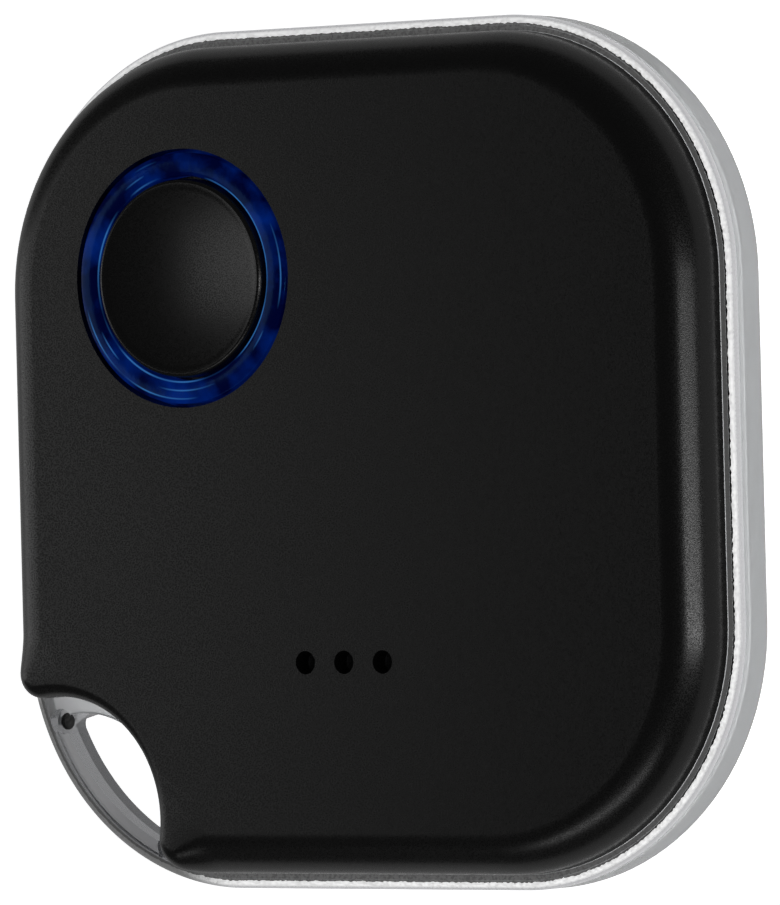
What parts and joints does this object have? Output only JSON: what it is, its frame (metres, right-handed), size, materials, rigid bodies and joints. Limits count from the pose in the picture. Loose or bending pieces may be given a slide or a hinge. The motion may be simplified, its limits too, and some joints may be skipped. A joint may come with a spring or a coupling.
{
  "type": "bluetooth tracker tag",
  "caption": "Flat square push-button tag with soft corners, a dished button in a light ring, a clear base and a corner key loop.",
  "frame": {"origin": "middle of the flat of the back face, on the surface that the tag lies on", "axes": "+Z out of the front face, +X to the right and +Y to the top as seen from the front; the key loop is at -X -Y"},
  "size_m": [0.036, 0.036, 0.006],
  "materials": {
    "clear_plastic": "clear, polished",
    "black_plastic": "fine spark texture",
    "blue_light_guide": "translucent, polished",
    "mesh": "fine woven",
    "foam": "closed-cell foam",
    "board": "solder mask over copper",
    "cell_steel": "nickel-plated",
    "seal": "moulded",
    "cell_fill": "pressed powder",
    "contact_metal": "gold-flashed",
    "switch_plastic": "moulded",
    "switch_metal": "stamped",
    "white_plastic": "moulded",
    "lamp": "resin",
    "sounder_plastic": "moulded",
    "sounder_brass": "rolled",
    "chip_resin": "moulded resin",
    "crystal_metal": "plated lid",
    "antenna_ceramic": "fired",
    "ferrite": "sintered",
    "capacitor_ceramic": "fired",
    "resistor_ceramic": "glazed",
    "gold_pad": "gold-flashed"
  },
  "bodies": {
    "base": {"base_tray": "clear_plastic", "circuit_board": "board", "positive_contact_upper": "contact_metal", "positive_contact_lower": "contact_metal", "negative_contact": "contact_metal", "switch_body": "switch_plastic", "switch_dome": "switch_metal", "switch_plate": "switch_metal", "led_1": "lamp", "led_2": "lamp", "led_3": "lamp", "led_4": "lamp", "sounder_case": "sounder_plastic", "sounder_diaphragm": "sounder_brass", "sounder_lid": "sounder_plastic", "radio_chip": "chip_resin", "crystal": "crystal_metal", "chip_antenna": "antenna_ceramic", "inductor": "ferrite", "capacitors": "capacitor_ceramic", "resistors": "resistor_ceramic", "test_pads": "gold_pad"},
    "cover": {"front_cover": "black_plastic", "light_ring": "blue_light_guide", "acoustic_mesh": "mesh", "cell_pad": "foam"},
    "button": {"button_cap": "black_plastic"},
    "plunger": {"switch_plunger": "white_plastic"},
    "battery": {"battery_can": "cell_steel", "battery_gasket": "seal", "battery_cap": "cell_steel", "battery_core": "cell_fill"}
  },
  "joints": [
    {"name": "cover_lift", "type": "slide", "parent": "base", "child": "cover", "axis": [0, 0, 1], "range_m": [0, 0.012]},
    {"name": "button_press", "type": "slide", "parent": "cover", "child": "button", "axis": [0, 0, -1], "range_m": [0, 0.00025], "stiffness_N_per_m": 400},
    {"name": "plunger_press", "type": "slide", "parent": "base", "child": "plunger", "axis": [0, 0, -1], "range_m": [0, 0.00025], "deforming": ["switch_dome"]},
    {"name": "battery_lift", "type": "slide", "parent": "base", "child": "battery", "axis": [0, 0, 1], "range_m": [0, 0.006]}
  ],
  "couplings": [
    {"joint": "plunger_press", "follows": "button_press", "ratio": 1},
    {"joint": "battery_lift", "follows": "cover_lift", "ratio": 0.5}
  ]
}
